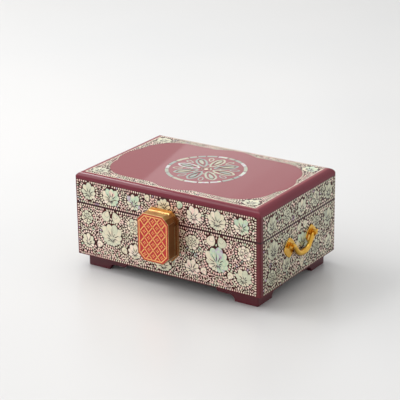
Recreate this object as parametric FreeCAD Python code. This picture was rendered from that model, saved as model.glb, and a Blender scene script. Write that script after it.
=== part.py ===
import FreeCAD, Part
import math
import os
from FreeCAD import Vector

# A lacquered jewellery box with a hinged lid: mitred wooden walls, thin shell inlay sheets,
# bracket feet, an octagonal flip-up latch, two bail handles, a mirror and a lift-out tray.
# Millimetres, +X to the right, +Y to the back, +Z up, the floor at z = 0.
# Everything is drawn with the wooden body centred on X and Y; the last step moves all of it
# along Y, so that the middle of the overall depth, latch and hinges included, is the origin.

# Wooden body
box_length = 300.0
box_width = 200.0
box_height = 140.0
foot_height = 19.0
lid_height = 44.0
seam_gap = 0.3
wall = 10.0
corner_radius = 2.5
lid_edge_height = 9.0
lid_end_edge_width = 12.0
lid_side_edge_width = 6.5
bottom_thickness = 6.0
bottom_rebate = 5.0

# Bracket feet
foot_inset = 10.5
foot_leg = 36.0
foot_reach = 66.0
foot_lip_height = 10.5
foot_tip_radius = 5.2
foot_thickness = 8.0

# Shell inlay sheets, let in flush with the wood
inlay_thickness = 0.4
inlay_wide_margin = 6.5
inlay_narrow_margin = 2.8
inlay_edge_margin = 1.0
top_border = 0.4

# Lobed window of plain lacquer in the lid's inlay: how far its lobes stay inside the sheet,
# how deep and half how wide they are, and the bowed corners between them
window_end_margin = 0.9
window_side_margin = 4.1
end_lobe_depth = 8.7
end_lobe_half = 28.0
side_lobe_depth = 9.0
side_lobe_half = 32.0
corner_reach = 46.0
corner_bow_x = 10.5
corner_bow_y = 18.0

# Round emblem in the middle of the lid
emblem_radius = 57.0
emblem_ring_width = 4.2
emblem_segments = 16
emblem_segment_gap = 1.2
petal_count = 8
petal_half_width = 8.2
petal_tip_gap = 7.8
petal_root_gap = 3.5
emblem_heart_radius = 8.5
emblem_offset_y = 2.0

# Hinges, with a tongue on the lid leaf that stops the lid
hinge_from_end = 55.0
hinge_length = 36.0
hinge_knuckle = 15.0
hinge_side_gap = 0.3
leaf_depth = 8.5
leaf_thickness = 1.2
barrel_radius = 2.6
barrel_gap = 0.3
hinge_pin_radius = 1.25
pin_clearance = 0.05
lid_open_angle = 95.0
tongue_length = 3.5
tongue_thickness = 1.4
stop_gap = 0.1
screw_radius = 1.2
screw_head_radius = 2.1
screw_head_depth = 1.0
screw_length = 8.0
screw_spread = 20.0

# Latch: two fixed halves on the body and a hollow cover that flips up
latch_x = -4.0
latch_length = 68.0
latch_width = 50.6
latch_chamfer = 9.5
latch_below_seam = 18.0
latch_rim = 1.9
latch_rim_thickness = 2.0
latch_base_depth = 8.0
latch_base_wall = 2.4
latch_cover_depth = 14.0
latch_cover_wall = 2.0
latch_gap = 0.5
latch_face_rim = 1.0
latch_face_thickness = 1.0
latch_barrel_radius = 1.5
latch_barrel_clearance = 0.25
latch_pin_radius = 0.75
latch_hinge_length = 28.0
latch_knuckles = 5
latch_knuckle_gap = 0.2
latch_open_angle = 100.0
magnet_radius = 6.0
magnet_thickness = 3.0
magnet_gap = 0.3
magnet_height = 18.0
keeper_thickness = 1.2
boss_wall = 1.5
latch_screw_length = 13.0
latch_screw_spread = 30.0
latch_screw_boss_radius = 3.4

# Bail handles on both ends
handle_offset_y = 2.0
handle_below_seam = 27.4
handle_half_span = 29.0
handle_stand = 5.6
plate_half_width = 14.5
plate_half_height = 14.5
plate_bulge = 1.9
plate_thickness = 1.4
plate_edge = 0.5
plate_drop = 3.1
collar_radius = 4.8
collar_thickness = 1.0
stem_radius = 2.4
eye_radius = 3.9
eye_width = 4.6
journal_radius = 2.0
journal_clearance = 0.08
journal_end_gap = 0.7
bail_drop = 17.5
bail_route = [(0.0, 1.0), (0.31, 0.95), (0.535, 0.77), (0.7, 0.52), (0.81, 0.27), (0.89, 0.08), (1.0, 0.0)]
bail_middle_radius = 4.4
bail_curl_reach = 6.0
bail_curl_rise = 2.2
bail_tip_radius = 1.4
bail_spans = 14
curl_spans = 3
shank_radius = 1.9
nut_across_flats = 7.0
nut_thickness = 3.0
nut_side_clearance = 1.0
nut_end_clearance = 0.4

# Lining of the case, whose upper edges carry the tray
lining_thickness = 2.5
floor_pad_thickness = 2.0

# Mirror and the padded frame that holds it in the lid
frame_gap = 0.5
mirror_frame_width = 30.0
mirror_frame_thickness = 5.0
mirror_frame_lip = 2.0
mirror_lip_width = 4.0
mirror_thickness = 3.0
mirror_clearance = 0.2

# Lift-out tray, sunk below the seam
tray_gap = 0.6
tray_sink = 4.0
tray_height = 26.0
tray_wall = 5.0
tray_floor = 3.0
tray_pad = 1.0
divider_thickness = 3.0
divider_drop = 4.0
divider_clearance = 0.2
ring_bay_length = 90.0
ring_roll_radius = 6.4
ring_roll_count = 6
ring_roll_gap = 1.2
finger_notch_radius = 11.0

# How far a cut runs past a face, and how near counts as touching when edges are picked
cut_over = 1.0
touching = 0.01

# Worked out from the sizes above
half_length = box_length / 2
half_width = box_width / 2
seam = box_height - lid_height
case_top = seam - seam_gap / 2
lid_bottom = seam + seam_gap / 2
lid_shoulder = box_height - lid_edge_height
inner_half_length = half_length - wall
inner_half_width = half_width - wall
floor_level = foot_height + bottom_thickness
flat_half_length = half_length - lid_end_edge_width - top_border
flat_half_width = half_width - lid_side_edge_width - top_border
hinge_axis_y = half_width + barrel_radius + barrel_gap
hinge_x = half_length - hinge_from_end
latch_base_face = -half_width - latch_base_depth
latch_joint = latch_base_face - latch_gap / 2
latch_cover_back = latch_base_face - latch_gap
latch_front = latch_cover_back - latch_cover_depth
latch_centre_z = seam - latch_below_seam
latch_top = latch_centre_z + latch_length / 2
latch_axis_z = latch_top - latch_barrel_radius
magnet_z = latch_centre_z - latch_length / 2 + magnet_height
handle_axis_z = seam - handle_below_seam
handle_plane = half_length + handle_stand
nut_corner_radius = nut_across_flats / math.sqrt(3)
mirror_frame_bottom = lid_shoulder - mirror_frame_thickness
tray_half_length = inner_half_length - tray_gap
tray_half_width = inner_half_width - tray_gap
tray_top = seam - tray_sink
ledge_height = tray_top - tray_height


# Basic solids

def cuboid(x0, x1, y0, y1, z0, z1):
    return Part.makeBox(x1 - x0, y1 - y0, z1 - z0, Vector(x0, y0, z0))


def rod_x(x0, x1, y, z, radius):
    return Part.makeCylinder(radius, x1 - x0, Vector(x0, y, z), Vector(1, 0, 0))


def rod_y(x, y0, y1, z, radius):
    return Part.makeCylinder(radius, y1 - y0, Vector(x, y0, z), Vector(0, 1, 0))


def prism(points, direction):
    corners = [Vector(*point) for point in points]
    face = Part.Face(Part.makePolygon(corners + corners[:1]))
    return face.extrude(Vector(*direction))


def arc(start, middle, end):
    return Part.Arc(Vector(*start), Vector(*middle), Vector(*end)).toShape()


def line(start, end):
    return Part.LineSegment(Vector(*start), Vector(*end)).toShape()


def mirrored_x(shape):
    return shape.mirror(Vector(0, 0, 0), Vector(1, 0, 0))


# Joined solids as one solid, with its split faces merged again
def union(solids):
    result = solids[0]
    for solid in solids[1:]:
        result = result.fuse(solid)
    return result.removeSplitter().Solids[0]


# A block with its four upright edges rounded, as the planed corners of the box are
def rounded_block(half_x, half_y, z0, z1, radius):
    block = cuboid(-half_x, half_x, -half_y, half_y, z0, z1)
    upright = []
    for edge in block.Edges:
        ends = [vertex.Point for vertex in edge.Vertexes]
        if abs(ends[0].z - ends[1].z) > (z1 - z0) / 2:
            upright.append(edge)
    return block.makeFillet(radius, upright)


# Four boards mitred at 45 degrees, named by the side they stand on
def mitred_walls(z0, z1):
    outside = rounded_block(half_length, half_width, z0, z1, corner_radius)
    height = (0, 0, z1 - z0)
    walls = {}
    for side, sign in (("front", -1), ("back", 1)):
        plan = [
            (-half_length, sign * half_width, z0),
            (half_length, sign * half_width, z0),
            (inner_half_length, sign * inner_half_width, z0),
            (-inner_half_length, sign * inner_half_width, z0),
        ]
        walls[side] = prism(plan, height).common(outside)
    for side, sign in (("left", -1), ("right", 1)):
        plan = [
            (sign * half_length, -half_width, z0),
            (sign * half_length, half_width, z0),
            (sign * inner_half_length, inner_half_width, z0),
            (sign * inner_half_length, -inner_half_width, z0),
        ]
        walls[side] = prism(plan, height).common(outside)
    return walls


# Flush inlay sheets for the four sides between two heights
def inlay_sheets(z0, z1):
    front_left = -half_length + inlay_narrow_margin
    front_right = half_length - inlay_wide_margin
    back_reach = half_length - inlay_wide_margin
    side_front = -half_width + inlay_wide_margin
    side_back = half_width - inlay_narrow_margin
    skin = inlay_thickness
    return {
        "front": cuboid(front_left, front_right, -half_width, -half_width + skin, z0, z1),
        "back": cuboid(-back_reach, back_reach, half_width - skin, half_width, z0, z1),
        "left": cuboid(-half_length, -half_length + skin, side_front, side_back, z0, z1),
        "right": cuboid(half_length - skin, half_length, side_front, side_back, z0, z1),
    }


# The lid's top board: a rounded edge on all four sides, wider at the ends, mitred at the corners
def top_board():
    z0 = lid_shoulder
    z1 = box_height
    turn = math.sqrt(0.5)

    def profile(half, edge_width, place):
        flat = half - edge_width
        bulge = flat + edge_width * turn
        bulge_z = z0 + lid_edge_height * turn
        low_left = place(-half, z0)
        low_right = place(half, z0)
        top_right = place(flat, z1)
        top_left = place(-flat, z1)
        right_middle = place(bulge, bulge_z)
        left_middle = place(-bulge, bulge_z)
        edges = [
            line(low_left, low_right),
            arc(low_right, right_middle, top_right),
            line(top_right, top_left),
            arc(top_left, left_middle, low_left),
        ]
        return Part.Face(Part.Wire(edges))

    ends = profile(half_length, lid_end_edge_width, lambda u, z: (u, -half_width, z))
    sides = profile(half_width, lid_side_edge_width, lambda u, z: (-half_length, u, z))
    along_y = ends.extrude(Vector(0, box_width, 0))
    along_x = sides.extrude(Vector(box_length, 0, 0))
    outside = rounded_block(half_length, half_width, z0, z1, corner_radius)
    return along_y.common(along_x).common(outside)


# The lobed window that frames the plain lacquer on the lid, drawn from its four reaches
def window_solid(z0, z1):
    end = flat_half_length - window_end_margin
    side = flat_half_width - window_side_margin
    a = end - end_lobe_depth
    b = end_lobe_half
    c = side_lobe_half
    s = a - corner_reach
    t = side - side_lobe_depth
    m = a - corner_bow_x
    n = t - corner_bow_y
    edges = [
        arc((a, -b, z0), (end, 0, z0), (a, b, z0)),
        arc((a, b, z0), (m, n, z0), (s, t, z0)),
        line((s, t, z0), (c, t, z0)),
        arc((c, t, z0), (0, side, z0), (-c, t, z0)),
        line((-c, t, z0), (-s, t, z0)),
        arc((-s, t, z0), (-m, n, z0), (-a, b, z0)),
        arc((-a, b, z0), (-end, 0, z0), (-a, -b, z0)),
        arc((-a, -b, z0), (-m, -n, z0), (-s, -t, z0)),
        line((-s, -t, z0), (-c, -t, z0)),
        arc((-c, -t, z0), (0, -side, z0), (c, -t, z0)),
        line((c, -t, z0), (s, -t, z0)),
        arc((s, -t, z0), (m, -n, z0), (a, -b, z0)),
    ]
    return Part.Face(Part.Wire(edges)).extrude(Vector(0, 0, z1 - z0))


# The emblem: a ring of shell segments round an eight-petalled rosette
def emblem_pieces():
    z0 = box_height - inlay_thickness
    inner = emblem_radius - emblem_ring_width
    outer_gap = math.asin(emblem_segment_gap / 2 / emblem_radius)
    inner_gap = math.asin(emblem_segment_gap / 2 / inner)
    step = 2 * math.pi / emblem_segments

    def at(radius, angle):
        return (radius * math.cos(angle), radius * math.sin(angle) + emblem_offset_y, z0)

    pieces = []
    for number in range(emblem_segments):
        start = number * step
        end = start + step
        middle = start + step / 2
        edges = [
            arc(at(emblem_radius, start + outer_gap), at(emblem_radius, middle), at(emblem_radius, end - outer_gap)),
            line(at(emblem_radius, end - outer_gap), at(inner, end - inner_gap)),
            arc(at(inner, end - inner_gap), at(inner, middle), at(inner, start + inner_gap)),
            line(at(inner, start + inner_gap), at(emblem_radius, start + outer_gap)),
        ]
        pieces.append(Part.Face(Part.Wire(edges)))
    petal_inner = emblem_heart_radius + petal_root_gap
    petal_outer = inner - petal_tip_gap
    petal_middle = (petal_inner + petal_outer) / 2
    spread = math.atan2(petal_half_width, petal_middle)
    bulge = math.hypot(petal_half_width, petal_middle)
    for number in range(petal_count):
        angle = number * 2 * math.pi / petal_count
        tip = at(petal_outer, angle)
        root = at(petal_inner, angle)
        left = at(bulge, angle + spread)
        right = at(bulge, angle - spread)
        pieces.append(Part.Face(Part.Wire([arc(root, right, tip), arc(tip, left, root)])))
    heart = Part.Circle(Vector(*at(0, 0)), Vector(0, 0, 1), emblem_heart_radius)
    pieces.append(Part.Face(Part.Wire(heart.toShape())))
    return [face.extrude(Vector(0, 0, inlay_thickness)) for face in pieces]


# One bracket foot at the front left; the others are its mirror images. Each leg runs up in
# a hollow quarter round into a lip under the case, whose end is rounded off.
def bracket_foot():
    x0 = -half_length + foot_inset
    y0 = -half_width + foot_inset
    lip = foot_height - foot_lip_height
    hollow_end = foot_leg + lip
    hollow_turn = lip * math.sqrt(0.5)
    tip = foot_reach
    tip_start = tip - foot_tip_radius
    tip_turn = foot_tip_radius * math.sqrt(0.5)
    tip_top = lip + foot_tip_radius

    def bracket(place, across):
        edges = [
            line(place(0, 0), place(foot_leg, 0)),
            arc(place(foot_leg, 0), place(hollow_end - hollow_turn, hollow_turn), place(hollow_end, lip)),
            line(place(hollow_end, lip), place(tip_start, lip)),
            arc(place(tip_start, lip), place(tip_start + tip_turn, tip_top - tip_turn), place(tip, tip_top)),
            line(place(tip, tip_top), place(tip, foot_height)),
            line(place(tip, foot_height), place(0, foot_height)),
            line(place(0, foot_height), place(0, 0)),
        ]
        return Part.Face(Part.Wire(edges)).extrude(Vector(*across))

    along_x = bracket(lambda s, z: (x0 + s, y0, z), (0, foot_thickness, 0))
    along_y = bracket(lambda s, z: (x0, y0 + s, z), (foot_thickness, 0, 0))
    foot = union([along_x, along_y])
    corner = []
    for edge in foot.Edges:
        ends = [vertex.Point for vertex in edge.Vertexes]
        at_corner = all(abs(p.x - x0) < touching and abs(p.y - y0) < touching for p in ends)
        if at_corner:
            corner.append(edge)
    return foot.makeFillet(corner_radius, corner)


# Countersunk screw whose head is flush at the start point
def screw(start, direction, length):
    head = Part.makeCone(screw_head_radius, screw_radius, screw_head_depth, start, direction)
    shank_start = start + direction * screw_head_depth
    shank = Part.makeCylinder(screw_radius, length - screw_head_depth, shank_start, direction)
    return union([head, shank])


# Hinge: case leaf, lid leaf, pin and the leaf screws, round one axis at the back of the seam
def hinge_parts(middle_x):
    x0 = middle_x - hinge_length / 2
    x1 = middle_x + hinge_length / 2
    k0 = middle_x - hinge_knuckle / 2
    k1 = middle_x + hinge_knuckle / 2
    leaf_front = half_width - leaf_depth
    axis_y = hinge_axis_y
    down = case_top - leaf_thickness
    up = lid_bottom + leaf_thickness

    case_solids = [cuboid(x0, x1, leaf_front, half_width, down, case_top)]
    for a, b in ((x0, k0 - hinge_side_gap), (k1 + hinge_side_gap, x1)):
        case_solids.append(rod_x(a, b, axis_y, seam, barrel_radius))
        case_solids.append(cuboid(a, b, half_width, axis_y, down, case_top))
    case_leaf = union(case_solids).cut(rod_x(x0, x1, axis_y, seam, hinge_pin_radius))

    tongue_face = axis_y - barrel_radius - barrel_gap + stop_gap
    tongue_tip = seam - barrel_radius - tongue_length
    tongue = cuboid(k0, k1, tongue_face, tongue_face + tongue_thickness, tongue_tip, seam)
    tongue.rotate(Vector(0, axis_y, seam), Vector(1, 0, 0), lid_open_angle)
    lid_solids = [
        cuboid(x0, x1, leaf_front, half_width, lid_bottom, up),
        rod_x(k0, k1, axis_y, seam, barrel_radius),
        cuboid(k0, k1, half_width, axis_y, lid_bottom, up),
        tongue,
    ]
    lid_leaf = union(lid_solids).cut(rod_x(x0, x1, axis_y, seam, hinge_pin_radius + pin_clearance))

    pin = rod_x(x0, x1, axis_y, seam, hinge_pin_radius)
    screw_y = half_width - leaf_depth / 2
    case_screws = []
    lid_screws = []
    for x in (middle_x - screw_spread / 2, middle_x + screw_spread / 2):
        case_screws.append(screw(Vector(x, screw_y, case_top), Vector(0, 0, -1), screw_length))
        lid_screws.append(screw(Vector(x, screw_y, lid_bottom), Vector(0, 0, 1), screw_length))
    for item in case_screws:
        case_leaf = case_leaf.cut(item)
    for item in lid_screws:
        lid_leaf = lid_leaf.cut(item)
    case_mortise = cuboid(x0, x1, leaf_front, half_width, down, case_top)
    lid_mortise = cuboid(x0, x1, leaf_front, half_width, lid_bottom, up)
    return {
        "case_leaf": case_leaf,
        "lid_leaf": lid_leaf,
        "pin": pin,
        "case_screws": case_screws,
        "lid_screws": lid_screws,
        "case_mortise": case_mortise,
        "lid_mortise": lid_mortise,
    }


# An octagonal block of the latch: grow widens its outline, negative values shrink it
def octagon(grow, y0, y1):
    half_x = latch_width / 2 + grow
    half_z = latch_length / 2 + grow
    cut = latch_chamfer + grow * (2 - math.sqrt(2))
    points = [
        (latch_x - half_x + cut, y0, latch_centre_z - half_z),
        (latch_x + half_x - cut, y0, latch_centre_z - half_z),
        (latch_x + half_x, y0, latch_centre_z - half_z + cut),
        (latch_x + half_x, y0, latch_centre_z + half_z - cut),
        (latch_x + half_x - cut, y0, latch_centre_z + half_z),
        (latch_x - half_x + cut, y0, latch_centre_z + half_z),
        (latch_x - half_x, y0, latch_centre_z + half_z - cut),
        (latch_x - half_x, y0, latch_centre_z - half_z + cut),
    ]
    return prism(points, (0, y1 - y0, 0))


# The groove along the latch's top edge, whose two slopes meet when the cover is fully up
def latch_groove(side):
    rise = latch_barrel_radius + cut_over
    reach = rise * math.tan(math.radians(latch_open_angle / 2))
    x0 = latch_x - latch_width / 2 - cut_over
    points = [
        (x0, latch_joint, latch_axis_z),
        (x0, latch_joint, latch_axis_z + rise),
        (x0, latch_joint + side * reach, latch_axis_z + rise),
    ]
    return prism(points, (latch_width + 2 * cut_over, 0, 0))


# The x range of each knuckle of the latch hinge
def latch_knuckle_spans():
    pitch = latch_hinge_length / latch_knuckles
    start = latch_x - latch_hinge_length / 2
    spans = []
    for number in range(latch_knuckles):
        a = start + number * pitch + latch_knuckle_gap / 2
        spans.append((a, a + pitch - latch_knuckle_gap))
    return spans


# Splits the latch hinge between the fixed half and the cover: even knuckles are fixed
def add_latch_knuckles(body, own_parity, pin_hole):
    for number, (a, b) in enumerate(latch_knuckle_spans()):
        if number % 2 != own_parity:
            relief = latch_barrel_radius + latch_barrel_clearance
            gap = latch_knuckle_gap
            body = body.cut(rod_x(a - gap, b + gap, latch_joint, latch_axis_z, relief))
    knuckles = []
    for number, (a, b) in enumerate(latch_knuckle_spans()):
        if number % 2 == own_parity:
            knuckles.append(rod_x(a, b, latch_joint, latch_axis_z, latch_barrel_radius))
    body = union([body] + knuckles)
    reach = latch_hinge_length / 2
    return body.cut(rod_x(latch_x - reach, latch_x + reach, latch_joint, latch_axis_z, pin_hole))


# Latch screws: two through the upper half, two through the lower half
def latch_screws(z):
    screws = []
    for x in (latch_x - latch_screw_spread / 2, latch_x + latch_screw_spread / 2):
        start = Vector(x, latch_base_face, z)
        screws.append(screw(start, Vector(0, 1, 0), latch_screw_length))
    return screws


# The fixed body of the latch before the seam divides it: a rim and a hollow raised block
def latch_base():
    rim = octagon(latch_rim, -half_width - latch_rim_thickness, -half_width)
    raised = octagon(0, latch_base_face, -half_width)
    hollow = octagon(-latch_base_wall, latch_base_face + latch_base_wall, -half_width)
    return union([rim, raised]).cut(hollow)


# One half of the fixed body between two heights, closed along the seam by a wall from
# wall_z upwards, with bosses round its screws
def latch_half(z0, z1, wall_z, screws):
    reach = latch_width / 2 + latch_rim
    zone = cuboid(latch_x - reach, latch_x + reach, latch_base_face, -half_width, z0, z1)
    solids = [latch_base().common(zone)]
    for item in screws:
        centre = item.CenterOfMass
        boss = rod_y(centre.x, latch_base_face, -half_width, centre.z, latch_screw_boss_radius)
        solids.append(boss)
    solids.append(cuboid(
        latch_x - latch_width / 2,
        latch_x + latch_width / 2,
        latch_base_face,
        -half_width,
        wall_z,
        wall_z + latch_base_wall,
    ))
    half = union(solids)
    for item in screws:
        half = half.cut(item)
    return half


# The hollow cover with its recess for the enamel plate and the boss for the magnet
def latch_cover_solid():
    shell = octagon(0, latch_front, latch_cover_back)
    front_wall = latch_cover_wall + latch_face_thickness
    cavity = octagon(-latch_cover_wall, latch_front + front_wall, latch_cover_back)
    cover = shell.cut(cavity)
    cover = cover.cut(octagon(-latch_face_rim, latch_front, latch_front + latch_face_thickness))
    boss = rod_y(latch_x, latch_front + front_wall, latch_base_face - magnet_gap, magnet_z,
                 magnet_radius + boss_wall)
    cover = union([cover, boss]).cut(magnet_disc())
    cover = cover.cut(latch_groove(-1))
    return add_latch_knuckles(cover, 1, latch_pin_radius + pin_clearance)


def magnet_disc():
    back = latch_base_face - magnet_gap
    return rod_y(latch_x, back - magnet_thickness, back, magnet_z, magnet_radius)


def keeper_disc():
    return rod_y(latch_x, latch_base_face, latch_base_face + keeper_thickness, magnet_z, magnet_radius)


# Leaf-shaped backplate of a handle, on the right end of the box
def handle_plate(y):
    w = plate_half_width
    h = plate_half_height
    z = handle_axis_z - plate_drop
    x = half_length
    push_y = plate_bulge * h / math.hypot(w, h)
    push_z = plate_bulge * w / math.hypot(w, h)
    edges = []
    corners = [(w, 0), (0, h), (-w, 0), (0, -h)]
    for number in range(4):
        start = corners[number]
        end = corners[(number + 1) % 4]
        mid_y = (start[0] + end[0]) / 2
        mid_z = (start[1] + end[1]) / 2
        mid_y += math.copysign(push_y, mid_y)
        mid_z += math.copysign(push_z, mid_z)
        edges.append(arc(
            (x, y + start[0], z + start[1]),
            (x, y + mid_y, z + mid_z),
            (x, y + end[0], z + end[1]),
        ))
    plate = Part.Face(Part.Wire(edges)).extrude(Vector(plate_thickness, 0, 0))
    rim = []
    for edge in plate.Edges:
        if all(abs(vertex.Point.x - x - plate_thickness) < touching for vertex in edge.Vertexes):
            rim.append(edge)
    return plate.makeChamfer(plate_edge, rim)


# Eye post: shank through the wall, collar, stem and the eye that the bail turns in
def handle_post(y):
    z = handle_axis_z
    x = half_length
    shank_start = inner_half_length
    solids = [
        rod_x(shank_start, x + plate_thickness, y, z, shank_radius),
        rod_x(x + plate_thickness, x + plate_thickness + collar_thickness, y, z, collar_radius),
        rod_x(x + plate_thickness, x + handle_stand, y, z, stem_radius),
        rod_y(x + handle_stand, y - eye_width / 2, y + eye_width / 2, z, eye_radius),
    ]
    hole = journal_radius + journal_clearance
    return union(solids).cut(rod_y(x + handle_stand, y - eye_width, y + eye_width, z, hole))


def handle_nut(y):
    x0 = inner_half_length
    points = []
    for number in range(6):
        angle = math.radians(60 * number)
        corner_y = y + nut_corner_radius * math.cos(angle)
        corner_z = handle_axis_z + nut_corner_radius * math.sin(angle)
        points.append((x0, corner_y, corner_z))
    nut = prism(points, (nut_thickness, 0, 0))
    return nut.cut(rod_x(x0, x0 + nut_thickness, y, handle_axis_z, shank_radius))


# Circle of the bail's section at one point of its route, square to the route
def bail_section(y, z, slope, radius):
    ring = Part.Wire(Part.Circle(Vector(0, 0, 0), Vector(0, 1, 0), radius).toShape())
    ring.rotate(Vector(0, 0, 0), Vector(1, 0, 0), math.degrees(slope))
    ring.translate(Vector(handle_plane, handle_offset_y + y, handle_axis_z + z))
    return ring


# The bail: a swelling grip that hangs in a deep bow, two journals and two curled ends.
# The route's points are shares of half the grip's length and of its drop.
def bail():
    grip_half = handle_half_span - eye_width / 2 - journal_end_gap
    journal_end = handle_half_span + eye_width / 2 + journal_end_gap
    right_half = [Vector(0, grip_half * along, -bail_drop * down) for along, down in bail_route]
    left_half = [Vector(0, -point.y, point.z) for point in right_half[:0:-1]]
    route = Part.BSplineCurve()
    ahead = Vector(0, 1, 0)
    route.interpolate(Points=left_half + right_half, InitialTangent=ahead, FinalTangent=ahead)
    sections = []
    for number in range(bail_spans + 1):
        share = number / bail_spans
        along = route.FirstParameter + (route.LastParameter - route.FirstParameter) * share
        centre = route.value(along)
        direction = route.tangent(along)[0]
        swell = math.cos(math.pi / 2 * centre.y / grip_half)
        radius = journal_radius + (bail_middle_radius - journal_radius) * swell
        sections.append(bail_section(centre.y, centre.z, math.atan2(direction.z, direction.y), radius))
    solids = [Part.makeLoft(sections, True, True)]
    for side in (-1, 1):
        start = min(side * grip_half, side * journal_end) + handle_offset_y
        end = max(side * grip_half, side * journal_end) + handle_offset_y
        solids.append(rod_y(handle_plane, start, end, handle_axis_z, journal_radius))
        curl = []
        for number in range(curl_spans + 1):
            part = number / curl_spans
            y = side * (journal_end + bail_curl_reach * part)
            z = bail_curl_rise * part * part
            slope = side * math.atan(2 * bail_curl_rise * part / bail_curl_reach)
            radius = journal_radius + (bail_tip_radius - journal_radius) * part
            curl.append(bail_section(y, z, slope, radius))
        solids.append(Part.makeLoft(curl, True, True))
    return union(solids)


# A padded roll of the ring bay: a half round bar lying across the tray
def ring_roll(x):
    y0 = -tray_half_width + tray_wall + divider_clearance
    z = ledge_height + tray_floor + tray_pad
    bar = rod_y(x, y0, -y0, z, ring_roll_radius)
    keep = cuboid(x - ring_roll_radius, x + ring_roll_radius, y0, -y0, z, z + 2 * ring_roll_radius)
    return bar.common(keep)


nodes = {}

# Case: walls, bottom and feet
case_walls = mitred_walls(foot_height, case_top)
bottom_half_length = half_length - bottom_rebate
bottom_half_width = half_width - bottom_rebate
bottom = cuboid(-bottom_half_length, bottom_half_length, -bottom_half_width, bottom_half_width,
                foot_height, floor_level)
nodes["case_bottom"] = bottom
for side in case_walls:
    case_walls[side] = case_walls[side].cut(bottom)

front_left_foot = bracket_foot()
nodes["foot_front_left"] = front_left_foot
nodes["foot_front_right"] = mirrored_x(front_left_foot)
nodes["foot_back_left"] = front_left_foot.mirror(Vector(0, 0, 0), Vector(0, 1, 0))
nodes["foot_back_right"] = mirrored_x(nodes["foot_back_left"])

# Lid: walls and top board
lid_walls = mitred_walls(lid_bottom, lid_shoulder)
lid_top = top_board()

# Inlay sheets of the case and the lid
case_inlays = inlay_sheets(foot_height + inlay_edge_margin, case_top - inlay_edge_margin)
lid_inlays = inlay_sheets(lid_bottom + inlay_edge_margin, lid_shoulder - inlay_edge_margin)
for side in case_walls:
    case_walls[side] = case_walls[side].cut(case_inlays[side])
    lid_walls[side] = lid_walls[side].cut(lid_inlays[side])
top_sheet_bottom = box_height - inlay_thickness
top_sheet = cuboid(-flat_half_length, flat_half_length, -flat_half_width, flat_half_width,
                   top_sheet_bottom, box_height)
top_inlay = top_sheet.cut(window_solid(top_sheet_bottom, box_height))
emblem = emblem_pieces()
lid_top = lid_top.cut(top_inlay).cut(Part.makeCompound(emblem))

# Hinges
hinges = {
    "left": hinge_parts(-hinge_x),
    "right": hinge_parts(hinge_x),
}
for side, parts in hinges.items():
    nodes["hinge_" + side + "_case_leaf"] = parts["case_leaf"]
    nodes["hinge_" + side + "_lid_leaf"] = parts["lid_leaf"]
    nodes["hinge_" + side + "_pin"] = parts["pin"]
    case_walls["back"] = case_walls["back"].cut(parts["case_mortise"])
    case_inlays["back"] = case_inlays["back"].cut(parts["case_mortise"])
    lid_walls["back"] = lid_walls["back"].cut(parts["lid_mortise"])
    lid_inlays["back"] = lid_inlays["back"].cut(parts["lid_mortise"])
case_hinge_screws = hinges["left"]["case_screws"] + hinges["right"]["case_screws"]
lid_hinge_screws = hinges["left"]["lid_screws"] + hinges["right"]["lid_screws"]
for item in case_hinge_screws:
    case_walls["back"] = case_walls["back"].cut(item)
for item in lid_hinge_screws:
    lid_walls["back"] = lid_walls["back"].cut(item)
nodes["hinge_screws_case"] = Part.makeCompound(case_hinge_screws)
nodes["hinge_screws_lid"] = Part.makeCompound(lid_hinge_screws)

# Latch
upper_screw_z = (lid_bottom + latch_top) / 2
lower_screw_z = case_top - (upper_screw_z - lid_bottom)
upper_screws = latch_screws(upper_screw_z)
lower_screws = latch_screws(lower_screw_z)
upper_half = latch_half(lid_bottom, box_height, lid_bottom, upper_screws).cut(latch_groove(1))
nodes["latch_plate_upper"] = add_latch_knuckles(upper_half, 0, latch_pin_radius)
keeper = keeper_disc()
keeper_boss = rod_y(latch_x, latch_base_face, -half_width, magnet_z, magnet_radius + boss_wall)
lower_half = latch_half(0, case_top, case_top - latch_base_wall, lower_screws)
nodes["latch_plate_lower"] = union([lower_half, keeper_boss]).cut(keeper)
nodes["latch_keeper"] = keeper
nodes["latch_cover"] = latch_cover_solid()
nodes["latch_magnet"] = magnet_disc()
nodes["latch_face"] = octagon(-latch_face_rim, latch_front, latch_front + latch_face_thickness)
nodes["latch_pin"] = rod_x(latch_x - latch_hinge_length / 2, latch_x + latch_hinge_length / 2,
                           latch_joint, latch_axis_z, latch_pin_radius)
nodes["latch_screws_upper"] = Part.makeCompound(upper_screws)
nodes["latch_screws_lower"] = Part.makeCompound(lower_screws)
for item in upper_screws:
    lid_walls["front"] = lid_walls["front"].cut(item)
    lid_inlays["front"] = lid_inlays["front"].cut(item)
for item in lower_screws:
    case_walls["front"] = case_walls["front"].cut(item)
    case_inlays["front"] = case_inlays["front"].cut(item)

# Handles
post_places = [handle_offset_y - handle_half_span, handle_offset_y + handle_half_span]
right_plates = []
right_posts = []
right_nuts = []
for y in post_places:
    bore = rod_x(inner_half_length, handle_plane, y, handle_axis_z, shank_radius)
    recess_end = inner_half_length + nut_thickness + nut_end_clearance
    recess = rod_x(inner_half_length, recess_end, y, handle_axis_z,
                   nut_corner_radius + nut_side_clearance)
    right_plates.append(handle_plate(y).cut(bore))
    right_posts.append(handle_post(y))
    right_nuts.append(handle_nut(y))
    case_walls["right"] = case_walls["right"].cut(bore).cut(recess)
    case_inlays["right"] = case_inlays["right"].cut(bore)
    case_walls["left"] = case_walls["left"].cut(mirrored_x(bore)).cut(mirrored_x(recess))
    case_inlays["left"] = case_inlays["left"].cut(mirrored_x(bore))
right_handle = {
    "plates": Part.makeCompound(right_plates),
    "posts": Part.makeCompound(right_posts),
    "nuts": Part.makeCompound(right_nuts),
    "bail": bail(),
}
for name, shape in right_handle.items():
    nodes["handle_right_" + name] = shape
    nodes["handle_left_" + name] = mirrored_x(shape)

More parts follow.
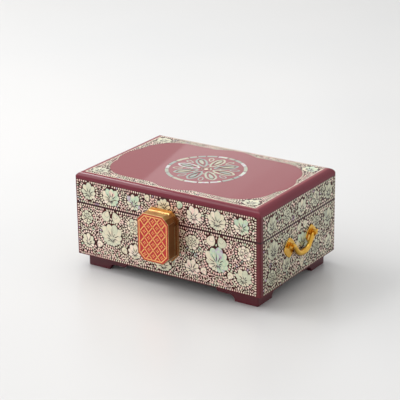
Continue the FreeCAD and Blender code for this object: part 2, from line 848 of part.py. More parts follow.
# Lining of the case
pad_top = floor_level + floor_pad_thickness
nodes["lining_floor"] = cuboid(-inner_half_length, inner_half_length, -inner_half_width,
                               inner_half_width, floor_level, pad_top)
lining_inner_y = inner_half_width - lining_thickness
for side, sign in (("front", -1), ("back", 1)):
    ys = sorted((sign * lining_inner_y, sign * inner_half_width))
    nodes["lining_" + side] = cuboid(-inner_half_length, inner_half_length, ys[0], ys[1],
                                     pad_top, ledge_height)
lining_inner_x = inner_half_length - lining_thickness
for side, sign in (("left", -1), ("right", 1)):
    xs = sorted((sign * lining_inner_x, sign * inner_half_length))
    nodes["lining_" + side] = cuboid(xs[0], xs[1], -lining_inner_y, lining_inner_y,
                                     pad_top, ledge_height)

# Mirror and its padded frame under the top board
frame_half_length = inner_half_length - frame_gap
frame_half_width = inner_half_width - frame_gap
mirror_frame = cuboid(-frame_half_length, frame_half_length, -frame_half_width, frame_half_width,
                      mirror_frame_bottom, lid_shoulder)
mirror_x = frame_half_length - mirror_frame_width
mirror_y = frame_half_width - mirror_frame_width
pocket_x = mirror_x + mirror_clearance
pocket_y = mirror_y + mirror_clearance
opening_x = mirror_x - mirror_lip_width
opening_y = mirror_y - mirror_lip_width
pocket_bottom = mirror_frame_bottom + mirror_frame_lip
pocket = cuboid(-pocket_x, pocket_x, -pocket_y, pocket_y, pocket_bottom, lid_shoulder)
opening = cuboid(-opening_x, opening_x, -opening_y, opening_y, mirror_frame_bottom, pocket_bottom)
nodes["mirror_frame"] = mirror_frame.cut(pocket).cut(opening)
nodes["mirror"] = cuboid(-mirror_x, mirror_x, -mirror_y, mirror_y,
                         pocket_bottom, pocket_bottom + mirror_thickness)

# Tray
tray_outside = cuboid(-tray_half_length, tray_half_length, -tray_half_width, tray_half_width,
                      ledge_height, tray_top)
tray_x = tray_half_length - tray_wall
tray_y = tray_half_width - tray_wall
tray_inside = cuboid(-tray_x, tray_x, -tray_y, tray_y, ledge_height + tray_floor, tray_top)
notch = rod_x(-half_length, half_length, 0, tray_top, finger_notch_radius)
nodes["tray_frame"] = tray_outside.cut(tray_inside).cut(notch)
pad_bottom = ledge_height + tray_floor
nodes["tray_pad"] = cuboid(-tray_x, tray_x, -tray_y, tray_y, pad_bottom, pad_bottom + tray_pad)

divider_bottom = pad_bottom + tray_pad
divider_top = tray_top - divider_drop
ring_bay_end = -tray_x + ring_bay_length
bay_divider = cuboid(ring_bay_end, ring_bay_end + divider_thickness,
                     -tray_y + divider_clearance, tray_y - divider_clearance,
                     divider_bottom, divider_top)
middle_start = ring_bay_end + divider_thickness
middle_x = (middle_start + tray_x) / 2
cross = cuboid(middle_x - divider_thickness / 2, middle_x + divider_thickness / 2,
               -tray_y + divider_clearance, tray_y - divider_clearance,
               divider_bottom, divider_top)
long_divider = cuboid(middle_start, tray_x - divider_clearance,
                      -divider_thickness / 2, divider_thickness / 2,
                      divider_bottom, divider_top)
nodes["tray_dividers"] = union([bay_divider, long_divider, cross])

roll_pitch = 2 * ring_roll_radius + ring_roll_gap
first_roll = (-tray_x + ring_bay_end) / 2 - roll_pitch * (ring_roll_count - 1) / 2
rolls = []
for number in range(ring_roll_count):
    rolls.append(ring_roll(first_roll + number * roll_pitch))
nodes["ring_rolls"] = Part.makeCompound(rolls)

# Finished walls, sheets and top
for side in case_walls:
    nodes["case_" + side] = case_walls[side]
    nodes["lid_" + side] = lid_walls[side]
    nodes["inlay_case_" + side] = case_inlays[side]
    nodes["inlay_lid_" + side] = lid_inlays[side]
nodes["lid_top"] = lid_top
nodes["inlay_lid_top"] = top_inlay
nodes["lid_emblem"] = Part.makeCompound(emblem)

# The whole part is moved along Y to stand over the middle of its overall depth
rear_reach = nodes["hinge_left_lid_leaf"].BoundBox.YMax
shift_y = -(latch_front + rear_reach) / 2

os.makedirs("parts", exist_ok=True)
for name in sorted(nodes):
    shape = nodes[name]
    shape.translate(Vector(0, shift_y, 0))
    if not shape.isValid():
        print("invalid:", name)
    shape.exportStep("parts/" + name + ".step")
    print(name, len(shape.Solids), round(shape.Volume, 1))

print("shift along Y", round(shift_y, 4))
print("lid axis", round(hinge_axis_y + shift_y, 4), seam)
print("latch axis", round(latch_joint + shift_y, 4), latch_axis_z)
print("handle axis", handle_plane, handle_axis_z, round(handle_offset_y + shift_y, 4))
print("overall", round(latch_front + shift_y, 4), round(rear_reach + shift_y, 4))
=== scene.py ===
import math

import bmesh
import bpy
import numpy as np
from mathutils import Matrix, Vector
from mathutils.bvhtree import BVHTree


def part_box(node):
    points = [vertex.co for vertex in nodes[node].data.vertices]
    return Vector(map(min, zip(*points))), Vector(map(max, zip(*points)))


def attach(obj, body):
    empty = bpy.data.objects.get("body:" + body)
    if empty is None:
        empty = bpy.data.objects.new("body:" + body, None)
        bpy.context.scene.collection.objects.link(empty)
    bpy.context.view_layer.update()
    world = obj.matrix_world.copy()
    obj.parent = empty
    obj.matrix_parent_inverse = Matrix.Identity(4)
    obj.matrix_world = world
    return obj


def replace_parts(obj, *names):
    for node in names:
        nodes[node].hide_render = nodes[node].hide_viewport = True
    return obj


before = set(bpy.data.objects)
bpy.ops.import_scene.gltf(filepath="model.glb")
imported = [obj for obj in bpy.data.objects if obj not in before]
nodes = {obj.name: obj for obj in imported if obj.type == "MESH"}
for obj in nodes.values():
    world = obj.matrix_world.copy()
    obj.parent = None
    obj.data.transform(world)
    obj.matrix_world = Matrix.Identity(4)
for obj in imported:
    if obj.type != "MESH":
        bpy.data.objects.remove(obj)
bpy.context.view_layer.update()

MM = 0.001


# Case and lid boards: hardwood, mitred and glued, under red pigmented lacquer and many clear
# coats that are rubbed flat and polished. The eye gets a deep even red below a wet gloss, which
# greys to pink where the light grazes it, as on the lid.

def linear(colour):
    parts = [int(colour[i:i + 2], 16) / 255 for i in (1, 3, 5)]
    parts = [p / 12.92 if p <= 0.04045 else ((p + 0.055) / 1.055) ** 2.4 for p in parts]
    return (parts[0], parts[1], parts[2], 1.0)


def add_node(tree, kind, settings=None, links=None):
    node = tree.nodes.new(kind)
    for name, value in (settings or {}).items():
        if isinstance(name, str) and hasattr(node, name):
            setattr(node, name, value)
        else:
            node.inputs[name].default_value = value
    for name, socket in (links or {}).items():
        tree.links.new(socket, node.inputs[name])
    return node


def new_finish(name, settings):
    material = bpy.data.materials.new(name)
    material.use_nodes = True
    tree = material.node_tree
    tree.nodes.clear()
    shader = add_node(tree, "ShaderNodeBsdfPrincipled", settings)
    add_node(tree, "ShaderNodeOutputMaterial", links={"Surface": shader.outputs["BSDF"]})
    place = add_node(tree, "ShaderNodeTexCoord").outputs["Object"]
    return material, tree, shader, place


def noise_of(tree, place, size_mm, detail=2.0):
    return add_node(tree, "ShaderNodeTexNoise", {"Scale": 1 / (size_mm * MM), "Detail": detail},
                    {"Vector": place}).outputs["Fac"]


# Soft patches of two tones, their size in millimetres, as a hand-laid finish has them
def two_tones(tree, place, size_mm, low, high):
    ramp = add_node(tree, "ShaderNodeValToRGB", links={"Fac": noise_of(tree, place, size_mm)})
    for stop, where, colour in zip(ramp.color_ramp.elements, (0.35, 0.65), (low, high)):
        stop.position = where
        stop.color = linear(colour)
    return ramp.outputs["Color"]


# A faint unevenness that bends and softens what the surface reflects
def small_bumps(tree, shader, place, size_mm, height_mm):
    bump = add_node(tree, "ShaderNodeBump", {"Strength": 1.0, "Distance": height_mm * MM},
                    {"Height": noise_of(tree, place, size_mm)})
    tree.links.new(bump.outputs["Normal"], shader.inputs["Normal"])


def polished_lacquer(name, low, high, patch_mm=90, gloss=0.03, coat=0.66):
    material, tree, shader, place = new_finish(name, {
        "Roughness": 0.35, "IOR": 1.45, "Specular IOR Level": 0.1,
        "Coat Weight": coat, "Coat Roughness": gloss, "Coat IOR": 1.45})
    tree.links.new(two_tones(tree, place, patch_mm, low, high), shader.inputs["Base Color"])
    small_bumps(tree, shader, place, 7, 0.006)
    return material


def give(names, material):
    for name in names:
        data = nodes[name].data
        data.materials.clear()
        data.materials.append(material)


def box_mm(node):
    return [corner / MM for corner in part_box(node)]


# Lays another colour over the part of a material that lies near one height
def toned_near(material, middle_mm, half_mm, colour):
    tree = material.node_tree
    shader = next(node for node in tree.nodes if node.type == "BSDF_PRINCIPLED")
    place = next(node for node in tree.nodes if node.type == "TEX_COORD").outputs["Object"]
    height = add_node(tree, "ShaderNodeSeparateXYZ", links={"Vector": place}).outputs["Z"]
    near = add_node(tree, "ShaderNodeMath",
                    {"operation": "COMPARE", 1: middle_mm * MM, 2: half_mm * MM}, {0: height})
    base = shader.inputs["Base Color"].links[0].from_socket
    mix = add_node(tree, "ShaderNodeMix", {"data_type": "RGBA", 7: linear(colour)},
                   {0: near.outputs["Value"], 6: base})
    tree.links.new(mix.outputs[2], shader.inputs["Base Color"])


# Painted shade and light on one red lacquer: the frames get a darker copy, darker still along
# the seam, and the lid a lighter one, whose flat top is warmer than its rounded edge
# painted shade: the frames' lacquer is a darker copy of the same red as the lid's
shaded_frame_lacquer = polished_lacquer("polished red lacquer of the frames, painted shade", "#56121B", "#5F151F")
seam_z = (box_mm("case_front")[1].z + box_mm("lid_front")[0].z) / 2
# painted shade: a dark band along the seam, where the gap keeps the light out
toned_near(shaded_frame_lacquer, seam_z, 1.1, "#340A12")
give(["case_front", "case_back", "case_left", "case_right", "lid_front", "lid_back", "lid_left",
      "lid_right"], shaded_frame_lacquer)
# painted light: the lid's lacquer is a lighter copy of the same red as the frames'
lit_lid_lacquer = polished_lacquer("polished red lacquer of the lid, painted light", "#661528", "#70182C")
# painted light: the lid's flat top is toned lighter and warmer than its rounded edge
toned_near(lit_lid_lacquer, box_mm("lid_top")[1].z, 0.4, "#7C1A28")
give(["lid_top"], lit_lid_lacquer)
give(["case_bottom"], polished_lacquer("dark lacquered bottom board", "#2A0E12", "#341317"))


# Bracket feet: four solid blocks, sawn to a bracket outline and glued under the bottom board.
# Their lacquer is browner and darker than the box, with the same gloss.
sharp_from = 32


# The mesh of what is drawn in bm, smooth over the edges that are blunter than so many degrees
def mesh_of(bm, name, material, smooth_to=0):
    mesh = bpy.data.meshes.new(name)
    bm.to_mesh(mesh)
    bm.free()
    mesh.materials.append(material)
    if smooth_to:
        mesh.shade_smooth()
        mesh.set_sharp_from_angle(angle=math.radians(smooth_to))
    return mesh


def new_piece(name, mesh, body, replaced=None):
    piece = bpy.data.objects.new(name, mesh)
    bpy.context.scene.collection.objects.link(piece)
    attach(piece, body)
    if replaced:
        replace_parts(piece, replaced)
    return piece


# A copy of a CAD piece with its edges eased, as rubbing and polishing leave them. The eased
# edges can have a material of their own, where the rubbing went through a patina and a painted
# highlight lies on them.
def eased_copy(node, name, material, width_mm, body, segments=2, worn_and_lit_edges=None):
    bm = bmesh.new()
    bm.from_mesh(nodes[node].data)
    bmesh.ops.remove_doubles(bm, verts=bm.verts, dist=1e-6)
    bmesh.ops.dissolve_limit(bm, angle_limit=math.radians(0.5), verts=bm.verts, edges=bm.edges)
    mesh = mesh_of(bm, name, material, sharp_from)
    piece = new_piece(name, mesh, body, node)
    edge = piece.modifiers.new("eased edge", "BEVEL")
    edge.width = width_mm * MM
    edge.segments = segments
    edge.limit_method = "ANGLE"
    edge.angle_limit = math.radians(sharp_from)
    edge.harden_normals = True
    # The eased edges take the second material: worn brass with a painted highlight
    if worn_and_lit_edges:
        mesh.materials.append(worn_and_lit_edges)
        edge.material = 1
    return piece


foot_lacquer = polished_lacquer("polished maroon lacquer", "#4C1520", "#581924")
for corner in ("front_left", "front_right", "back_left", "back_right"):
    eased_copy("foot_" + corner, "foot_" + corner + "_block", foot_lacquer, 0.4, "case")


# Inlay ground: the dark brown lacquer that fills the gaps between the pieces of shell and is
# rubbed down level with them.
inlay_ground = polished_lacquer("dark ground lacquer", "#381212", "#4C1C19", 9, 0.06, 0.25)
give([name for name in nodes if name.startswith("inlay_")], inlay_ground)


# Shell inlay: thin slices of mother-of-pearl, sawn into petals, scrolls, drops and dots, glued
# to the ground and polished. Each piece keeps the hue of its shell, cream, rose, green or a
# little violet, with a soft cloudiness inside and a hard clear gloss above.
shell, tree, shader, place = new_finish("polished mother-of-pearl", {
    "Metallic": 0.45, "Roughness": 0.36,
    "Coat Weight": 0.4, "Coat Roughness": 0.06, "Coat IOR": 1.5})
tone = add_node(tree, "ShaderNodeAttribute", {"attribute_name": "tone"}).outputs["Fac"]
shift = add_node(tree, "ShaderNodeMapRange",
                 {"From Min": 0.3, "From Max": 0.7, "To Min": 0.84, "To Max": 1.16},
                 {"Value": noise_of(tree, place, 5.0, 3.0)})
varied = add_node(tree, "ShaderNodeMath", {"operation": "MULTIPLY"},
                  {0: tone, 1: shift.outputs["Result"]})
ramp = add_node(tree, "ShaderNodeValToRGB", links={"Fac": varied.outputs["Value"]})
hues = [(0.0, "#2A0A0C"), (0.06, "#2A0A0C"), (0.1, "#84948E"), (0.2, "#BCB99C"), (0.3, "#D2D2B8"),
        (0.4, "#E4D8BC"), (0.5, "#F4E2D0"), (0.6, "#EEBDB4"), (0.68, "#E0D6BE"), (0.76, "#CCD8B8"),
        (0.84, "#BAD0B4"), (0.92, "#C6C4C8"), (1.0, "#B89CAE")]
while len(ramp.color_ramp.elements) < len(hues):
    ramp.color_ramp.elements.new(0.5)
for stop, (where, colour) in zip(ramp.color_ramp.elements, hues):
    stop.position = where
    stop.color = linear(colour)
tree.links.new(ramp.outputs["Color"], shader.inputs["Base Color"])
small_bumps(tree, shader, place, 1.6, 0.015)


def open_edges(bm):
    return [edge for edge in bm.edges if edge.is_boundary]


def verts_of(geometry):
    return [part for part in geometry if isinstance(part, bmesh.types.BMVert)]


# The points and faces of a flat shape that faces up, with a wall below its rim where one shows
def shape_of(bm, wall_mm=0.0):
    if wall_mm:
        made = bmesh.ops.extrude_edge_only(bm, edges=open_edges(bm))["geom"]
        bmesh.ops.translate(bm, vec=(0, 0, -wall_mm), verts=verts_of(made))
    bmesh.ops.recalc_face_normals(bm, faces=bm.faces)
    if sum(f.normal.z * f.calc_area() for f in bm.faces) < 0:
        bmesh.ops.reverse_faces(bm, faces=bm.faces)
    bm.verts.ensure_lookup_table()
    points = np.array([v.co[:] for v in bm.verts])
    faces = [tuple(v.index for v in f.verts) for f in bm.faces]
    bm.free()
    return points, faces


# A petal of length 1 from its root at the origin; the powers set how full its root and tip are
def petal_shape(root, tip, wall_mm=0.0):
    widest = root / (root + tip)
    fullest = widest ** root * (1 - widest) ** tip
    bm = bmesh.new()
    bmesh.ops.create_circle(bm, cap_ends=True, segments=18, radius=0.5)
    for v in bm.verts:
        along = min(1.0, max(0.0, v.co.y + 0.5))
        v.co.x = math.copysign(0.5, v.co.x) * along ** root * (1 - along) ** tip / fullest
        v.co.y = along
    bmesh.ops.remove_doubles(bm, verts=bm.verts, dist=1e-4)
    return shape_of(bm, wall_mm)


# A drop of length 1 about its middle, round at one end and drawn out at the other
def drop_shape():
    bm = bmesh.new()
    bmesh.ops.create_circle(bm, cap_ends=True, segments=9, radius=0.5)
    for v in bm.verts:
        v.co.x *= 1.1 - 0.9 * (v.co.y + 0.5)
    return shape_of(bm)


def dot_shape():
    bm = bmesh.new()
    bmesh.ops.create_circle(bm, cap_ends=True, segments=7, radius=0.5)
    return shape_of(bm)


def bar_shape():
    bm = bmesh.new()
    bmesh.ops.create_grid(bm, x_segments=1, y_segments=1, size=0.5)
    return shape_of(bm)


# A flat band between two radii, turned about the origin
def turned_band(bm, inner, outer, turn, steps):
    start = [bm.verts.new((inner, 0, 0)), bm.verts.new((outer, 0, 0))]
    edge = bm.edges.new(start)
    bmesh.ops.spin(bm, geom=start + [edge], cent=(0, 0, 0), axis=(0, 0, 1), angle=turn, steps=steps)


# A scroll of diameter 1: a band turned through most of a circle that thins to its tail
def curl_shape(degrees, steps, inner):
    bm = bmesh.new()
    turn = math.radians(degrees)
    turned_band(bm, inner, 0.5, turn, steps)
    for v in bm.verts:
        part = (math.atan2(v.co.y, v.co.x) % (2 * math.pi)) / turn
        v.co *= 1 - 0.14 * part if v.co.length > 0.4 else 1 + 0.25 * part
    return shape_of(bm)


shapes = {
    "petal": petal_shape(1.1, 0.62, 0.1),
    "lobe": petal_shape(0.8, 0.42, 0.1),
    "petal_line": petal_shape(1.1, 0.62),
    "lobe_line": petal_shape(0.8, 0.42),
    "drop": drop_shape(),
    "dot": dot_shape(),
    "bar": bar_shape(),
    "ring": curl_shape(315, 11, 0.2),
    "curl": curl_shape(255, 9, 0.2),
    "vine": curl_shape(285, 12, 0.36),
}


# Tones are places on the ramp of hues: the lowest is the dark of a saw cut. Lifts are heights
# above the sheet in millimetres, each layer at its own, so that no two lie in one plane.
cut_tone = 0.02
scroll_lift = 0.05
flower_lift = 0.06
ray_lift = 0.064
vine_lift = 0.066


# One face of the box as a flat field in millimetres, and the sheet that its shell lies on. A
# place is an origin and the directions along, up and out.
class Field:
    def __init__(self, side, sheet):
        front_y = box_mm("case_front")[0].y
        back_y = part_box("case_back")[1].y / MM
        right_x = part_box("case_right")[1].x / MM
        top_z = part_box("lid_top")[1].z / MM
        middle_y = (front_y + back_y) / 2
        places = {
            "front": ((0, front_y, 0), (1, 0, 0), (0, 0, 1), (0, -1, 0)),
            "back": ((0, back_y, 0), (-1, 0, 0), (0, 0, 1), (0, 1, 0)),
            "right": ((right_x, middle_y, 0), (0, 1, 0), (0, 0, 1), (1, 0, 0)),
            "left": ((-right_x, middle_y, 0), (0, -1, 0), (0, 0, 1), (-1, 0, 0)),
            "top": ((0, middle_y, top_z), (1, 0, 0), (0, 1, 0), (0, 0, 1)),
        }
        self.origin, self.along, self.up, self.out = [np.array(p, float) for p in places[side]]
        self.placed = []
        self.taken = {}
        bm = bmesh.new()
        bm.from_mesh(nodes[sheet].data)
        bmesh.ops.remove_doubles(bm, verts=bm.verts, dist=1e-6)
        self.tree = BVHTree.FromBMesh(bm)
        # The rims run between the outer faces and the sides of the sheet, and are walked as loops
        out = Vector(self.out)
        next_to = {}
        for edge in bm.edges:
            level = [face.normal.dot(out) > 0.9 for face in edge.link_faces]
            if sum(level) == 1:
                a, b = [self.flat(v.co) for v in edge.verts]
                next_to.setdefault(a, []).append(b)
                next_to.setdefault(b, []).append(a)
        bm.free()
        self.rims = []
        while next_to:
            start = next(iter(next_to))
            walk = [start]
            while walk[-1] in next_to and next_to[walk[-1]]:
                here = walk[-1]
                there = next_to[here].pop()
                next_to[there].remove(here)
                walk.append(there)
            for point in set(walk):
                next_to.pop(point, None)
            self.rims.append(np.array(walk))

    def flat(self, point):
        away = np.array(point) / MM - self.origin
        return (round(float(away @ self.along), 4), round(float(away @ self.up), 4))

    # Whether the sheet lies below a point and, with a reach, below four more round it
    def on_sheet(self, u, v, reach=0.0):
        round_it = ((reach, 0), (-reach, 0), (0, reach), (0, -reach)) if reach else ()
        for du, dv in ((0, 0), *round_it):
            start = (self.origin + self.along * (u + du) + self.up * (v + dv) + self.out * 2) * MM
            if self.tree.ray_cast(Vector(start), Vector(-self.out), 0.0022)[0] is None:
                return False
        return True

    def put(self, shape, u, v, turn, width, length, lift, tone):
        self.placed.append((shape, u, v, turn, width, length, lift, tone))

    # Notes a disc as taken, so that later pieces keep clear of it
    def take(self, u, v, radius):
        self.taken.setdefault((int(u // 5), int(v // 5)), []).append((u, v, radius))

    def free(self, u, v, radius):
        a, b = int(u // 5), int(v // 5)
        for i in (a - 1, a, a + 1):
            for j in (b - 1, b, b + 1):
                for x, y, r in self.taken.get((i, j), ()):
                    if (u - x) ** 2 + (v - y) ** 2 < (radius + r) ** 2:
                        return False
        return True

    def take_oval(self, u, v, half_u, half_v):
        rings = max(2, int(max(half_u, half_v) / 2.2))
        self.take(u, v, 1.5)
        for ring in range(1, rings + 1):
            share = ring / rings
            count = max(6, int(2 * math.pi * max(half_u, half_v) * share / 2.2))
            for i in range(count):
                turn = 2 * math.pi * i / count
                self.take(u + math.cos(turn) * (half_u - 0.6) * share,
                          v + math.sin(turn) * (half_v - 0.6) * share, 1.2)

    # Sets all pieces of the field out as one mesh, with the tone of each at its points
    def piece(self, name, body):
        corners, faces, tones = [], [], []
        start = 0
        for kind, (points, outline) in shapes.items():
            chosen = [p[1:] for p in self.placed if p[0] == kind]
            if not chosen:
                continue
            u, v, turn, width, length, lift, tone = np.array(chosen, float).T
            x = points[:, 0][None] * width[:, None]
            y = points[:, 1][None] * length[:, None]
            cos, sin = np.cos(turn)[:, None], np.sin(turn)[:, None]
            a = u[:, None] + x * cos - y * sin
            b = v[:, None] + x * sin + y * cos
            h = lift[:, None] + points[:, 2][None]
            corners.append((self.origin + a[..., None] * self.along + b[..., None] * self.up
                            + h[..., None] * self.out).reshape(-1, 3))
            tones.append(np.repeat(tone, len(points)))
            turned = width * length < 0
            for number in range(len(chosen)):
                base = start + number * len(points)
                for face in outline:
                    loop = [base + i for i in face]
                    faces.append(loop[::-1] if turned[number] else loop)
            start += len(chosen) * len(points)
        mesh = bpy.data.meshes.new(name)
        mesh.from_pydata((np.concatenate(corners) * MM).tolist(), [], faces)
        mesh.attributes.new("tone", "FLOAT", "POINT").data.foreach_set(
            "value", np.concatenate(tones).astype(np.float32))
        mesh.materials.append(shell)
        return new_piece(name, mesh, body)


# A flower that fills an oval. A lotus fans pointed petals out from a root below its middle, a
# peony lays rounded ones round its middle in two layers. Each petal lies on a darker copy whose
# edge shows as a saw line, short dark strokes part them, and the hue drifts from petal to petal,
# as shell does; a green flower has some cream and violet petals.
def flower(field, kind, u, v, width, height, tone, rng, saw):
    half_u, half_v = width / 2, height / 2
    lotus = kind == "lotus"
    green = tone > 0.7
    root = -0.34 * half_v if lotus else -0.05 * half_v
    petal = "petal" if lotus else "lobe"
    layers = ((12 if width > 26 else 10, 1.0),) if lotus else ((8, 1.0), (5, 0.58))
    lift = flower_lift
    drift = rng.uniform(0, 6.28)

    # The way from the root to the rim of the oval
    def reach(turn):
        du, dv = -math.sin(turn), math.cos(turn)
        a = (du / half_u) ** 2 + (dv / half_v) ** 2
        b = 2 * root * dv / half_v ** 2
        c = (root / half_v) ** 2 - 1
        return (-b + math.sqrt(b * b - 4 * a * c)) / (2 * a)

    field.put("dot", u, v + root, 0, width * 0.55, height * 0.5, lift, tone)
    for count, size in layers:
        step = 2 * math.pi / count
        start = rng.uniform(0, step)
        for i in sorted(range(count), key=lambda i: math.cos(start + step * i)):
            turn = start + step * i
            length = reach(turn) * size * rng.uniform(0.92, 1.08)
            broad = max(length * 0.5, 1.5 * length * math.tan(step / 2))
            line = saw * (0.3 if size < 1 or not lotus else 0.14)
            lift += 0.006
            field.put(petal + "_line", u + math.sin(turn) * line, v + root - math.cos(turn) * line,
                      turn, broad + 2 * line, length + 2 * line, lift, 0.09 if lotus else cut_tone)
            lift += 0.003
            shade = tone + 0.05 * math.sin(turn * 1.5 + drift) + rng.uniform(-0.02, 0.02)
            if green and math.cos(turn + 1.1) < -0.4:
                shade = rng.uniform(0.36, 0.46)
            elif green and rng.random() < 0.15:
                shade = rng.uniform(0.88, 0.93)
            field.put(petal, u, v + root, turn, broad, length, lift, shade)
    lift += 0.01
    for i in range(count if lotus else 6):
        turn = start + step * (i + 0.5) if lotus else i * 1.05 + rng.uniform(-0.2, 0.2)
        full = reach(turn)
        far = full * rng.uniform(0.12, 0.24)
        long = full * rng.uniform(0.3, 0.62)
        middle = far + long / 2
        field.put("drop", u - math.sin(turn) * middle, v + root + math.cos(turn) * middle, turn,
                  0.95 * saw, long, lift, cut_tone)
    field.take_oval(u, v, half_u + 0.3, half_v + 0.3)


# A bud: a smaller leaf closed over a round one
def bud(field, u, v, size, lean, tone, rng):
    for kind, length, broad, lift in (("lobe", 1.0, 0.84, 0.07), ("petal", 0.62, 0.44, 0.09)):
        root_u = u + math.sin(lean) * size * 0.5
        root_v = v - math.cos(lean) * size * 0.5
        field.put(kind + "_line", root_u + math.sin(lean) * 0.3, root_v - math.cos(lean) * 0.3,
                  lean, broad * size + 0.6, length * size + 0.6, lift, cut_tone)
        field.put(kind, root_u, root_v, lean, broad * size, length * size, lift + 0.006,
                  tone + rng.uniform(-0.04, 0.04))
    field.take_oval(u, v, size * 0.44, size * 0.44)


# The scrollwork between the flowers. Dark vine curls come first, then drops along the rims of the
# sheet, a strip of bars where the sheet has one, dark rays and rows of drops and rings round each
# flower, and last rings, drops and dots wherever there is room. The real work has twice as many
# and finer pieces; these are as coarse as they need to be to show. Each face has its own share
# of rose shell, a painted shade that shifts its hues deeper, and a factor for coarser pieces.
def scrollwork(field, ovals, rose, end_painted_shade, coarse, rng, strip):
    rims = np.concatenate(field.rims)
    low_u, low_v = rims.min(axis=0)
    high_u, high_v = rims.max(axis=0)
    area = (high_u - low_u) * (high_v - low_v)

    # Random places all over the sheet, each with one or two numbers from 0 to 1
    def scattered(per_square_mm, numbers):
        tries = int(area * per_square_mm)
        return zip(rng.uniform(low_u, high_u, tries), rng.uniform(low_v, high_v, tries),
                   *[rng.random(tries) for number in range(numbers)])

    # Green, rose, violet and mostly cream; rose gathers in broad sweeps
    def hue(u, v):
        wave = math.sin(u * 0.045 + 1.3 * math.sin(v * 0.06)) * math.cos(v * 0.05 + u * 0.013)
        sweep = 0.5 + 0.5 * wave
        pick = rng.random()
        if pick < 0.04:
            return rng.uniform(0.72, 0.8)
        # Rose and cream take the painted shade of the ends, a shift to deeper hues
        if pick < 0.04 + rose * (0.4 + 1.2 * sweep):
            return rng.uniform(0.55, 0.62) - end_painted_shade
        if pick > 0.985:
            return rng.uniform(0.92, 1.0)
        return rng.uniform(0.34, 0.53) - end_painted_shade

    def try_put(kind, u, v, turn, width, length, reach):
        reach *= coarse
        if field.free(u, v, reach) and field.on_sheet(u, v, reach):
            field.put(kind, u, v, turn, 1.2 * coarse * width, 1.2 * coarse * length, scroll_lift,
                      hue(u, v))
            field.take(u, v, reach)

    vines = []
    for u, v, luck in scattered(0.3, 1):
        size = (6.8 + 2.4 * luck) * coarse
        if not field.free(u, v, size * 0.42) or not field.on_sheet(u, v, size * 0.55):
            continue
        if all(math.dist((u, v), other) > 8.4 * coarse for other in vines):
            vines.append((u, v))
            field.put("vine", u, v, luck * 40, size, size if luck < 0.5 else -size, vine_lift,
                      cut_tone)

    for rim in field.rims:
        outermost = abs(np.abs(rim).max(axis=0) - np.array([high_u, high_v])).max() < 0.5
        inset = 1.9 if strip and outermost else 0.1
        lengths = np.hypot(*np.diff(rim, axis=0).T)
        walked = np.concatenate([[0], np.cumsum(lengths)])
        count = int(walked[-1] / (3.5 * coarse))
        for i in range(count):
            at = walked[-1] * (i + 0.5) / count
            k = min(int(np.searchsorted(walked, at)) - 1, len(lengths) - 1)
            if lengths[k] < 1e-6:
                continue
            ahead = (rim[k + 1] - rim[k]) / lengths[k]
            u, v = rim[k] + ahead * (at - walked[k])
            for side in (1, -1):
                inward = np.array([-ahead[1], ahead[0]]) * side
                x, y = np.array([u, v]) + inward * (inset + 1.6)
                if (field.on_sheet(u + inward[0] * 0.3, v + inward[1] * 0.3)
                        and field.on_sheet(x, y, 0.7) and field.free(x, y, 0.9)):
                    turn = math.atan2(-inward[0], inward[1])
                    field.put("drop", x, y, turn, 3.0 * coarse, 3.3, scroll_lift, hue(x, y))
                    field.take(x, y, 1.5)

    if strip:
        corners = [(low_u, low_v), (high_u, low_v), (high_u, high_v), (low_u, high_v)]
        for a, b in zip(corners, corners[1:] + corners[:1]):
            run = math.dist(a, b)
            count = int(run / 17)
            ahead = (np.array(b) - np.array(a)) / run
            inward = np.array([-ahead[1], ahead[0]])
            for i in range(count):
                u, v = np.array(a) + ahead * run * (i + 0.5) / count + inward * 0.6
                field.put("bar", u, v, math.atan2(-ahead[0], ahead[1]), 0.85, run / count - 0.35,
                          flower_lift, rng.uniform(0.42, 0.56))

    # Buds are too small for rays and outer rows
    flowers = [oval for oval in ovals if oval[2] >= 9]
    for u, v, half_u, half_v in flowers:
        across, along = half_u + 4.7, half_v + 4.7
        count = int(math.pi * (across + along) / 2.2)
        for i in range(int(count * 0.85)):
            turn = 2 * math.pi * i / count + u
            x, y = u + math.cos(turn) * across, v + math.sin(turn) * along
            if field.on_sheet(x, y, 2.4):
                field.put("bar", x, y, turn, 1.1, 2.9, ray_lift, cut_tone)

    for row, away, gap in (("inner drops", 2.8, 3.5), ("rings", 7.3, 5.4), ("drops", 12.0, 4.1)):
        for u, v, half_u, half_v in ovals if row == "inner drops" else flowers:
            across, along = half_u + away, half_v + away
            count = int(math.pi * (across + along) / (gap * coarse))
            start = rng.uniform(0, 6.28)
            for i in range(count):
                turn = start + 2 * math.pi * i / count
                x, y = u + math.cos(turn) * across, v + math.sin(turn) * along
                outward = math.atan2(math.sin(turn) * across, math.cos(turn) * along)
                if row == "inner drops":
                    try_put("drop", x, y, outward - math.pi / 2, 2.9, 3.9, 1.55)
                elif row == "rings":
                    try_put("ring" if i % 4 else "curl", x, y, outward + 2.0, 5.2, 5.2, 2.5)
                else:
                    try_put("drop", x, y, outward + (0.9 if i % 2 else 2.2), 2.9, 4.2, 1.7)

    for kind, per_square_mm, smallest, largest, broad, long, apart in (
            ("ring", 0.4, 4.6, 5.4, 1.0, 1.0, 0.5), ("drop", 0.5, 3.4, 4.2, 0.9, 1.2, 0.49),
            ("drop", 0.6, 2.4, 3.1, 0.9, 1.2, 0.49), ("dot", 0.7, 1.5, 2.0, 1.0, 1.2, 0.52)):
        for u, v, luck, grow in scattered(per_square_mm, 2):
            turn = (2.2 * math.sin(u * 0.09 + 0.7 * math.sin(v * 0.13))
                    + 2.0 * math.cos(v * 0.11) + luck)
            size = smallest + (largest - smallest) * grow
            try_put(kind, u, v, turn, size * broad, size * long, size * apart)


